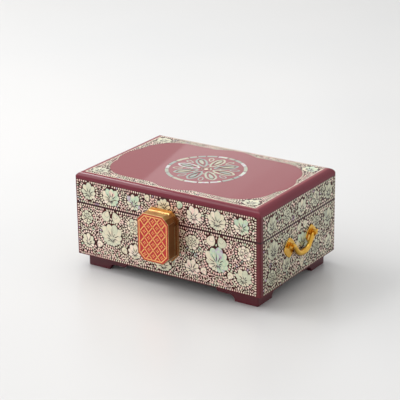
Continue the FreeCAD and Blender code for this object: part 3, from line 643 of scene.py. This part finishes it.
# Where the flowers stand: kind, place, width, height and tone, or a bud's size, lean and tone
front_case = [
    ("lotus", -89, 58, 35, 33, 0.33), ("lotus", 83, 59, 37, 36, 0.80),
    ("peony", -131, 76, 20, 20, 0.36), ("peony", -52, 78, 22, 22, 0.38),
    ("peony", 44, 76, 22, 22, 0.42), ("peony", 125, 77, 21, 21, 0.46),
    ("lotus", -130, 42, 22, 22, 0.38), ("lotus", -51, 42, 23, 23, 0.44),
    ("lotus", 43, 40, 23, 23, 0.50), ("lotus", 124, 42, 24, 24, 0.33),
    ("lotus", -4, 33, 28, 17, 0.34), ("bud", -111, 40, 11, -0.5, 0.46),
    ("bud", -68, 39, 11, 0.6, 0.38), ("bud", 62, 38, 11, 0.5, 0.48),
    ("bud", 103, 40, 11, -0.5, 0.44), ("bud", -98, 85, 16, 2.7, 0.35),
    ("bud", -82, 85, 16, -2.7, 0.35), ("bud", 74, 85, 16, 2.7, 0.42),
    ("bud", 90, 85, 16, -2.7, 0.33),
]
front_lid = [
    ("lotus", -127, 115, 25, 25, 0.33), ("lotus", -89, 114, 29, 26, 0.74),
    ("lotus", -50.6, 114, 24, 24, 0.73), ("bud", -28, 124, 10, 0.4, 0.44),
    ("lotus", -1, 120, 22, 17, 0.35), ("bud", 24, 124, 11, -0.4, 0.78),
    ("lotus", 47, 115, 24, 24, 0.5), ("lotus", 83, 114, 28, 26, 0.36),
    ("lotus", 121, 114, 24, 24, 0.75),
]
end_case = [
    ("lotus", -68, 76, 27, 26, 0.22), ("lotus", 7, 62, 30, 29, 0.78),
    ("lotus", 78, 76, 24, 24, 0.22), ("peony", -72, 38, 23, 23, 0.25),
    ("lotus", -34, 44, 22, 22, 0.29), ("peony", 45, 42, 22, 22, 0.25),
    ("lotus", 80, 38, 21, 21, 0.33), ("peony", -36, 80, 18, 18, 0.27),
    ("peony", 46, 79, 18, 18, 0.27), ("bud", 7, 32, 13, 0.0, 0.36),
    ("bud", 0, 87, 12, 2.5, 0.36), ("bud", 14, 87, 12, -2.5, 0.36),
]
end_lid = [
    ("lotus", -72, 113, 24, 24, 0.23), ("peony", -33, 113, 22, 22, 0.27),
    ("lotus", 6, 113, 24, 24, 0.34), ("peony", 43, 113, 22, 22, 0.29),
    ("lotus", 79, 113, 22, 22, 0.23),
]
top = [
    ("lotus", -122, -77, 25, 22, 0.34), ("lotus", 122, -77, 25, 22, 0.36),
    ("lotus", -122, 77, 25, 22, 0.36), ("lotus", 122, 77, 25, 22, 0.76),
]
behind_latch = ("peony", -3, 68, 32, 32, 0.36)
first_seed = 11
for seed, (side, part, flowers, rose) in enumerate((
    ("front", "case_front", front_case, 0.5), ("front", "lid_front", front_lid, 0.5),
    ("right", "case_right", end_case, 0.26), ("right", "lid_right", end_lid, 0.26),
    ("back", "case_back", front_case + [behind_latch], 0.2), ("back", "lid_back", front_lid, 0.2),
    ("left", "case_left", end_case, 0.26), ("left", "lid_left", end_lid, 0.26),
    ("top", "lid_top", top, 0.2),
), first_seed):
    # The ends are seen at a slant and from farther off, so their pieces are coarser
    at_end = side in ("left", "right")
    saw = 1.9 if side == "front" else 2.6
    rng = np.random.default_rng(seed)
    field = Field(side, "inlay_" + part)
    ovals = []
    for kind, u, v, size, *rest in flowers:
        if kind == "bud":
            bud(field, u, v, size, *rest, rng)
            ovals.append((u, v, size / 2, size / 2))
        else:
            flower(field, kind, u, v, size, *rest, rng, saw)
            ovals.append((u, v, size / 2, rest[0] / 2))
    # The ends get a painted shade: their shell hues are shifted deeper
    scrollwork(field, ovals, rose, 0.095 if at_end else 0.0, 1.3 if at_end else 1.0, rng,
               side == "top")
    field.piece("shell_" + part, "case" if part.startswith("case") else "lid")


# Lid emblem: a rosette in a ring, cut from the same shell with a fine saw. Each petal is a rim
# round a slim heart, and the ring's short pieces have gaps as broad as they need to be to show.
emblem_low, emblem_high = box_mm("lid_emblem")
emblem = Field("top", "inlay_lid_top")
emblem_u = (emblem_low.x + emblem_high.x) / 2
emblem_v = (emblem_low.y + emblem_high.y) / 2 - emblem.origin[1]
emblem_radius = (emblem_high.x - emblem_low.x) / 2
emblem_wall = 0.1
emblem_tones = (0.11, 0.12, 0.14, 0.16, 0.18, 0.9)
ring_count = 20
ring_width = 4.8
ring_gap = 1.9 / emblem_radius


def ring_part(turn):
    bm = bmesh.new()
    turned_band(bm, emblem_radius - ring_width, emblem_radius, turn, 5)
    return shape_of(bm, emblem_wall)


# The outline of a petal about its middle, broader to its tip, as a band
def petal_rim(length, width, band):
    bm = bmesh.new()
    bmesh.ops.create_circle(bm, cap_ends=True, segments=28, radius=0.5)
    for v in bm.verts:
        along = v.co.y + 0.5
        v.co.x *= width * (0.8 + 0.35 * along) * (1 - 0.35 * max(0.0, along - 0.8) / 0.2)
        v.co.y *= length
    bmesh.ops.inset_region(bm, faces=list(bm.faces), thickness=band, use_boundary=True,
                           use_even_offset=True)
    bmesh.ops.delete(bm, geom=[f for f in bm.faces if len(f.verts) > 4], context="FACES")
    return shape_of(bm, emblem_wall)


def put_round(kind, far, turn, width=1, length=1):
    emblem.put(kind, emblem_u - math.sin(turn) * far, emblem_v + math.cos(turn) * far, turn,
               width, length, flower_lift, rng.choice(emblem_tones))


rng = np.random.default_rng(5)
ring_cuts = np.cumsum(rng.uniform(0.75, 1.35, ring_count))
ring_cuts = np.concatenate([[0], ring_cuts]) / ring_cuts[-1] * 2 * math.pi
for number, (cut, next_cut) in enumerate(zip(ring_cuts, ring_cuts[1:])):
    shapes["ring part %d" % number] = ring_part(next_cut - cut - ring_gap)
    put_round("ring part %d" % number, 0, cut)
shapes["petal rim"] = petal_rim(36, 16.5, 2.9)
shapes["small rim"] = petal_rim(15, 8, 1.7)
shapes["heart rim"] = curl_shape(360, 20, 0.36)
for number in range(8):
    turn = number * math.pi / 4
    put_round("petal rim", emblem_radius * 0.5, turn)
    put_round("lobe", emblem_radius * 0.53 - 10, turn, 5.6, 20)
    turn += math.pi / 8
    put_round("small rim", emblem_radius * 0.7, turn)
    put_round("dot", emblem_radius * 0.35, turn, 3.2, 3.2)
emblem.put("heart rim", emblem_u, emblem_v, 0, 16, 16, flower_lift, 0.18)
emblem.put("dot", emblem_u, emblem_v, 0, 6.5, 6.5, flower_lift, 0.4)
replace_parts(emblem.piece("emblem_shell", "lid"), "lid_emblem")


# Latch: two base halves and a hollow cover, cast in brass and browned. The edges are rubbed
# bright and carry a painted highlight, the upper part is painted lighter as a highlight, and
# the flanks keep a brown that is partly patina and partly painted shade, the dark inlay they
# reflect.
def polished_metal(name, low, high, roughness, size_mm=20):
    material, tree, shader, place = new_finish(name, {"Metallic": 1.0, "Roughness": roughness})
    tree.links.new(two_tones(tree, place, size_mm, low, high), shader.inputs["Base Color"])
    small_bumps(tree, shader, place, 20, 0.006)
    return material


brass = polished_metal("polished brass", "#DCA944", "#ECC060", 0.2)
# painted highlight: pale brass on the eased edges, partly rubbed wear
worn_lit_brass = polished_metal("pale brass of the worn edges, painted highlight", "#F2D8A4", "#F8E2B4", 0.45)
# painted shade: the flanks' brown is partly patina and partly the dark inlay they reflect
browned_shaded_brass = polished_metal("browned brass of the latch, painted shade", "#8C5C34", "#9C6A3C", 0.34)
# painted highlight: a lighter band over the upper part of the latch
toned_near(browned_shaded_brass, box_mm("latch_plate_upper")[1].z - 1, 5, "#CCA066")
steel = polished_metal("plated steel", "#B9BBC0", "#C9CBD0", 0.25)
for node, body, width_mm in (("latch_plate_upper", "lid", 1.0), ("latch_plate_lower", "case", 1.0),
                             ("latch_cover", "latch_cover", 0.4)):
    eased_copy(node, node + "_brass", browned_shaded_brass, width_mm, body, worn_and_lit_edges=worn_lit_brass)
give(["latch_screws_upper", "latch_screws_lower"], brass)
give(["latch_keeper", "latch_magnet", "latch_pin"], steel)


# Enamel plate of the latch: glassy red enamel fired on copper, with a raised gilt trellis of
# crossing bars, a border line and a four-petalled blossom in each field.
enamel = polished_lacquer("red enamel", "#AE2226", "#C2302A", 5, 0.08)
gilt = polished_metal("gilt wire", "#F0B070", "#F8C880", 0.4, 3)
give(["latch_face"], enamel)
plate_margin = 1.6
plate_cut = 8.9
wire = 1.35
proud = 0.3
bar_lean = math.radians(40)
bar_pitch = 13.775
plate_low, plate_high = box_mm("latch_face")
plate_x = (plate_low.x + plate_high.x) / 2
plate_z = (plate_low.z + plate_high.z) / 2
plate_half_x = (plate_high.x - plate_low.x) / 2 - plate_margin
plate_half_z = (plate_high.z - plate_low.z) / 2 - plate_margin


# The eight corners of the plate's border, moved in by an inset
def plate_corners(inset):
    a, b, c = plate_half_x - inset, plate_half_z - inset, plate_cut - inset * 0.41
    return [(a, b - c), (a - c, b), (-a + c, b), (-a, b - c),
            (-a, -b + c), (-a + c, -b), (a - c, -b), (a, -b + c)]


# From millimetres about a point to metres in the shared frame
def to_metres(bm, about=(0, 0, 0)):
    bmesh.ops.transform(bm, matrix=Matrix.Scale(MM, 4) @ Matrix.Translation(about), verts=bm.verts)


# Crossing bars, cut off along the eight sides
trellis = bmesh.new()
for lean in (-bar_lean, bar_lean):
    for number in range(-9, 10):
        bmesh.ops.create_cube(trellis, size=1, matrix=Matrix.Translation((number * bar_pitch, 0, 0))
                              @ Matrix.Rotation(lean, 4, "Y")
                              @ Matrix.Diagonal((wire, 2 * proud, 140, 1)))
corners = plate_corners(1.0)
for corner, following in zip(corners, corners[1:] + corners[:1]):
    away = Vector((following[1] - corner[1], 0, corner[0] - following[0]))
    bmesh.ops.bisect_plane(trellis, dist=1e-5, plane_co=(corner[0], 0, corner[1]), plane_no=away,
                           geom=[*trellis.verts, *trellis.edges, *trellis.faces], clear_outer=True)
bmesh.ops.holes_fill(trellis, edges=open_edges(trellis), sides=6)

# The border: a flat octagon whose rim is kept and raised
border = bmesh.ops.create_circle(trellis, cap_ends=True, segments=8, radius=1)["verts"]
around = sorted(border, key=lambda v: math.atan2(v.co.y, v.co.x))
for v, (x, z) in zip(around, sorted(plate_corners(0.0), key=lambda p: math.atan2(p[1], p[0]))):
    v.co = Vector((x, -proud, z))
face = next(f for f in trellis.faces if all(v in border for v in f.verts))
trellis.normal_update()
bmesh.ops.inset_region(trellis, faces=[face], thickness=wire, use_boundary=True,
                       use_even_offset=True)
rim_faces = [f for f in trellis.faces if f is not face and sum(v in border for v in f.verts) == 2
             and all(abs(v.co.y + proud) < 1e-4 for v in f.verts)]
bmesh.ops.delete(trellis, geom=[face], context="FACES_ONLY")
raised = bmesh.ops.extrude_face_region(trellis, geom=rim_faces)["geom"]
bmesh.ops.translate(trellis, vec=(0, proud, 0), verts=verts_of(raised))

# A blossom of four petals in each field that has room for one
room_mm = 3.0
for row in range(-9, 10):
    for column in range(-9, 10):
        x = column * bar_pitch / 2
        z = row * bar_pitch / 2 / math.tan(bar_lean)
        if ((row + column) % 2 == 0 or abs(x) > plate_half_x - room_mm
                or abs(z) > plate_half_z - room_mm
                or abs(x) + abs(z) > plate_half_x + plate_half_z - plate_cut - room_mm * 1.4):
            continue
        for quarter in range(4):
            turn = Matrix.Rotation(quarter * math.pi / 2, 4, "Y")
            bmesh.ops.create_cone(
                trellis, cap_ends=True, segments=6, radius1=1.2, radius2=0.9, depth=2 * proud,
                matrix=Matrix.Translation((x, 0, z)) @ turn @ Matrix.Translation((0, 0, 1.7))
                @ Matrix.Rotation(math.pi / 2, 4, "X") @ Matrix.Diagonal((0.75, 1.1, 1, 1)))
bmesh.ops.recalc_face_normals(trellis, faces=trellis.faces)
to_metres(trellis, (plate_x, plate_low.y, plate_z))
new_piece("latch_gilding", mesh_of(trellis, "latch_gilding", gilt), "latch_cover")


# Bail handles: leaf-shaped backplates stamped from brass sheet, turned eye posts that nuts hold
# from inside, and cast bails that swell to the middle and end in small curls, all polished.
bail_axis_x = 155.6
bail_axis_z = 68.6

# Half the bail, from the lowest point of its hanging grip to the tip of its curl: the way along
# the box's end and up from the axis, and the radius there
half_bail = [
    (0, -17.5, 4.4), (8.06, -16.6, 4.12), (13.9, -13.5, 3.6), (18.2, -9.1, 3.1),
    (21.1, -4.7, 2.7), (23.1, -1.4, 2.42), (26, 0, 2.0), (29, 0, 2.0), (32, 0, 2.0),
    (34, 0.25, 1.85), (36, 1.0, 1.6), (37.8, 2.05, 1.1),
]


# More rows between the given ones, on a smooth curve through them
def smooth_run(values, steps):
    values = np.array(values, float)
    run = np.concatenate([[2 * values[0] - values[1]], values, [2 * values[-1] - values[-2]]])
    out = []
    for i in range(1, len(run) - 2):
        p0, p1, p2, p3 = run[i - 1:i + 3]
        for step in range(steps):
            t = step / steps
            out.append(0.5 * (2 * p1 + (p2 - p0) * t + (2 * p0 - 5 * p1 + 4 * p2 - p3) * t * t
                              + (3 * p1 - p0 - 3 * p2 + p3) * t ** 3))
    out.append(values[-1])
    return np.array(out)


bail_run = smooth_run([(-y, z, radius) for y, z, radius in half_bail[:0:-1]] + half_bail, 4)
for side, sign in (("left", -1), ("right", 1)):
    handle = "handle_" + side
    posts_low, posts_high = box_mm(handle + "_posts")
    axis_y = (posts_low.y + posts_high.y) / 2
    bm = bmesh.new()
    rings = []
    for number, (y, z, radius) in enumerate(bail_run):
        before, after = bail_run[max(number - 1, 0)], bail_run[min(number + 1, len(bail_run) - 1)]
        lean = math.atan2(after[1] - before[1], after[0] - before[0])
        place = Matrix.Translation((sign * bail_axis_x, axis_y + y, bail_axis_z + z))
        turn = Matrix.Rotation(lean, 4, "X") @ Matrix.Rotation(-math.pi / 2, 4, "X")
        rings.append(bmesh.ops.create_circle(
            bm, cap_ends=number in (0, len(bail_run) - 1), segments=20, radius=radius,
            matrix=place @ turn)["verts"])
    for a, b in zip(rings, rings[1:]):
        bmesh.ops.bridge_loops(bm, edges=[e for e in bm.edges if all(v in a for v in e.verts)
                                          or all(v in b for v in e.verts)])
    bmesh.ops.recalc_face_normals(bm, faces=bm.faces)
    to_metres(bm)
    new_piece("bail_" + side, mesh_of(bm, "bail_" + side, brass, 50), handle,
              handle + "_bail")
    for part in ("_plates", "_posts"):
        eased_copy(handle + part, handle + part + "_brass", brass, 0.25, "case")
    give([handle + "_nuts"], steel)


# Hinges: brass butts with knuckles round a steel pin and countersunk brass screws. The leaves
# are sheet brass, sheared, drilled and polished.
for side in ("left", "right"):
    for part, body in (("case_leaf", "case"), ("lid_leaf", "lid")):
        node = "hinge_" + side + "_" + part
        eased_copy(node, node + "_brass", brass, 0.15, body)
    give(["hinge_" + side + "_pin"], steel)
give(["hinge_screws_case", "hinge_screws_lid"], brass)


# Lining: thin boards wrapped in velvet and pressed in along the walls, and a padded floor board.
# Cotton velvet with a short upright pile: dark red where one looks into it, paler at a slant.
velvet, tree, shader, place = new_finish("cotton velvet", {
    "Roughness": 0.95, "Specular IOR Level": 0.1, "Sheen Weight": 0.9, "Sheen Roughness": 0.35,
    "Sheen Tint": linear("#F0B0B4")})
tree.links.new(two_tones(tree, place, 11, "#5A0C18", "#70141F"), shader.inputs["Base Color"])
small_bumps(tree, shader, place, 0.9, 0.12)
for node in ("lining_front", "lining_back", "lining_left", "lining_right"):
    eased_copy(node, node + "_velvet", velvet, 0.9, "case", segments=3)


# The floor board's pad is crowned, faintly rippled and rolls down at its rim
crown_mm = 0.5
roll_mm = 1.5
floor_low, floor_high = box_mm("lining_floor")
size = floor_high - floor_low
bm = bmesh.new()
bmesh.ops.create_grid(bm, x_segments=56, y_segments=36, size=0.5)
for v in bm.verts:
    x, y = v.co.x * size.x, v.co.y * size.y
    from_rim = min(size.x / 2 - abs(x), size.y / 2 - abs(y))
    roll = 1 - math.sqrt(max(0.0, 1 - (1 - min(1.0, from_rim / roll_mm)) ** 2))
    ripple = 0.12 * math.sin(x * 0.07) * math.sin(y * 0.09 + 1) * min(1.0, from_rim / 10)
    swell = crown_mm * (1 - math.cos(math.pi * min(1.0, from_rim / 25))) / 2
    v.co = Vector((x, y, swell - crown_mm - roll * (size.z - crown_mm) * 0.8 + ripple))
for v in verts_of(bmesh.ops.extrude_edge_only(bm, edges=open_edges(bm))["geom"]):
    v.co.z = -size.z
bmesh.ops.holes_fill(bm, edges=open_edges(bm))
bmesh.ops.recalc_face_normals(bm, faces=bm.faces)
middle = (floor_low + floor_high) / 2
to_metres(bm, (middle.x, middle.y, floor_high.z))
floor_pad = new_piece("floor_pad", mesh_of(bm, "floor_pad", velvet, 60), "case",
                      "lining_floor")


# Tray: a mitred frame of lacquered wood that lifts out, with velvet pads in its bins, dividers
# wrapped in velvet, and six stuffed rolls that hold rings between them.
tray_lacquer = polished_lacquer("satin red lacquer of the tray", "#641824", "#701E2A", 40, 0.12)
eased_copy("tray_frame", "tray_frame_wood", tray_lacquer, 0.6, "tray", segments=3)
eased_copy("tray_pad", "tray_pad_velvet", velvet, 0.4, "tray")
eased_copy("tray_dividers", "tray_dividers_velvet", velvet, 1.1, "tray", segments=3)

# Half-round rolls that plump up between their ends and are a little uneven along them
roll_count = 6
rolls_low, rolls_high = box_mm("ring_rolls")
roll_radius = rolls_high.z - rolls_low.z
roll_pitch = (rolls_high.x - rolls_low.x - 2 * roll_radius) / (roll_count - 1)
roll_length = rolls_high.y - rolls_low.y
middle_y = (rolls_low.y + rolls_high.y) / 2
bm = bmesh.new()
for number in range(roll_count):
    middle = rolls_low.x + roll_radius + number * roll_pitch
    for v in bmesh.ops.create_grid(bm, x_segments=14, y_segments=40, size=0.5)["verts"]:
        turn = math.pi * (0.5 - v.co.x)
        y = v.co.y * roll_length
        from_end = roll_length / 2 - abs(y)
        plump = math.sqrt(1 - (1 - min(1.0, (from_end + 0.4) / 5)) ** 2)
        uneven = 0.12 * (1 + math.sin(y * 0.21 + number * 2.1))
        radius = roll_radius * (0.55 + 0.45 * plump) - uneven
        v.co = Vector((middle + radius * math.cos(turn), middle_y + y,
                       rolls_low.z + max(0.0, radius * math.sin(turn))))
bmesh.ops.holes_fill(bm, edges=open_edges(bm))
bmesh.ops.recalc_face_normals(bm, faces=bm.faces)
to_metres(bm)
ring_rolls = new_piece("ring_rolls_stuffed", mesh_of(bm, "ring_rolls_stuffed", velvet, 60),
                       "tray", "ring_rolls")


# Mirror: float glass, silvered at the back, held under the lid by a padded frame that is
# covered in the same velvet and glued to the lid board.
mirror_frame = eased_copy("mirror_frame", "mirror_frame_velvet", velvet, 1.4, "lid",
                          segments=4)
silvered_glass, tree, shader, place = new_finish("silvered glass", {
    "Metallic": 1.0, "Roughness": 0.015, "Coat Weight": 1.0, "Coat Roughness": 0.0})
tree.links.new(two_tones(tree, place, 60, "#D6DEDC", "#DCE4E2"), shader.inputs["Base Color"])
eased_copy("mirror", "mirror_glass", silvered_glass, 0.4, "lid")


# Studio: a pale table in a pale room that is lighter on the left and a little darker behind. A
# large soft window and a small lamp light the box from the left, and a soft light from above.
bm = bmesh.new()
bmesh.ops.create_grid(bm, x_segments=1, y_segments=1, size=6)
table_top, tree, shader, place = new_finish("pale table top",
                                            {"Roughness": 0.3, "Specular IOR Level": 0.4})
tree.links.new(two_tones(tree, place, 700, "#CACACB", "#CECDCD"), shader.inputs["Base Color"])
table = bpy.data.objects.new("table", mesh_of(bm, "table", table_top))
bpy.context.scene.collection.objects.link(table)

room = bpy.data.worlds.new("pale room")
room.use_nodes = True
bpy.context.scene.world = room
tree = room.node_tree
around = add_node(tree, "ShaderNodeTexCoord").outputs["Generated"]
parts = add_node(tree, "ShaderNodeSeparateXYZ", links={"Vector": around})


# The room's brightness, smoothly changing with one part of the direction
def brightness(part, start, end, at_start, at_end):
    return add_node(tree, "ShaderNodeMapRange", {
        "From Min": start, "From Max": end, "To Min": at_start, "To Max": at_end,
        "interpolation_type": "SMOOTHSTEP"}, {"Value": parts.outputs[part]}).outputs["Result"]


from_left = brightness("X", -0.6, -0.3, 1.06, 0.84)
to_back = brightness("Y", 0.2, 0.7, 1.0, 0.9)
both = add_node(tree, "ShaderNodeMath", {"operation": "MULTIPLY"}, {0: from_left, 1: to_back})
backdrop = tree.nodes["Background"]
backdrop.inputs["Color"].default_value = linear("#FAFAF8")
tree.links.new(both.outputs["Value"], backdrop.inputs["Strength"])


def area_light(name, width, height, power):
    data = bpy.data.lights.new(name, "AREA")
    data.shape = "RECTANGLE"
    data.size = width
    data.size_y = height
    data.energy = power
    light = bpy.data.objects.new(name, data)
    bpy.context.scene.collection.objects.link(light)
    return light


for name, place, target, width, height, power in (
    ("left window", (-2.1, -0.8, 1.65), (0, 0, 0.05), 3.2, 2.2, 56),
    ("ceiling light", (-0.3, 0.6, 2.1), (0, 0, 0.05), 1.6, 1.6, 12),
    ("left lamp", (-1.36, -0.28, 1.85), (0, 0, 0.1), 0.6, 0.35, 6.5),
):
    light = area_light(name, width, height, power)
    light.location = place
    aim = (Vector(target) - Vector(place)).to_track_quat("-Z", "Y")
    light.rotation_euler = aim.to_matrix().to_euler()


# A transform from its three axes and its place
def axes_at(x, y, z, place):
    return Matrix([(x[i], y[i], z[i], place[i]) for i in range(3)] + [(0, 0, 0, 1)])


# Far window: it stands behind the box, and the lid reflects it up to its slanting edge. It is
# made of strips that start at that edge and lie one before the other, so that their light adds
# up in the reflection and fades away from the edge. Each has a width and a radiance.
edge_low = Vector((-1.388, 2.0, 0.904))
edge_high = Vector((-1.541, 2.0, 1.042))
far_height = 1.4
strip_gap = 0.004
along = (edge_high - edge_low).normalized()
across = Vector((along.z, 0, -along.x))
out = Vector((0, -1, 0))
far_strips = ((1.0, 0.2), (0.28, 0.13), (0.22, 0.15), (0.16, 0.15), (0.1, 0.12))
for number, (width, radiance) in enumerate(far_strips):
    strip = area_light("far window", width, far_height, radiance * math.pi * width * far_height)
    middle = (edge_low + edge_high) / 2 + across * width / 2 + out * number * strip_gap
    strip.matrix_world = axes_at(across, along, -out, middle)

# Camera: where the photo's stood, worked out from the corners of the box, with a long lens
camera_data = bpy.data.cameras.new("camera")
camera_data.sensor_width = 36
camera_data.lens = 135.6
camera_data.clip_start = 0.05
camera_data.clip_end = 50
camera = bpy.data.objects.new("camera", camera_data)
right = Vector((0.83415968, 0.55138076, -0.01252548))
up = Vector((-0.18246108, 0.29732682, 0.93717913))
forward = Vector((-0.5204667, 0.77947163, -0.34862357))
camera.matrix_world = axes_at(right, up, -forward, (1.082307, -1.6286984, 0.824776))
bpy.context.scene.collection.objects.link(camera)
bpy.context.scene.camera = camera
bpy.context.scene.view_settings.view_transform = "Standard"
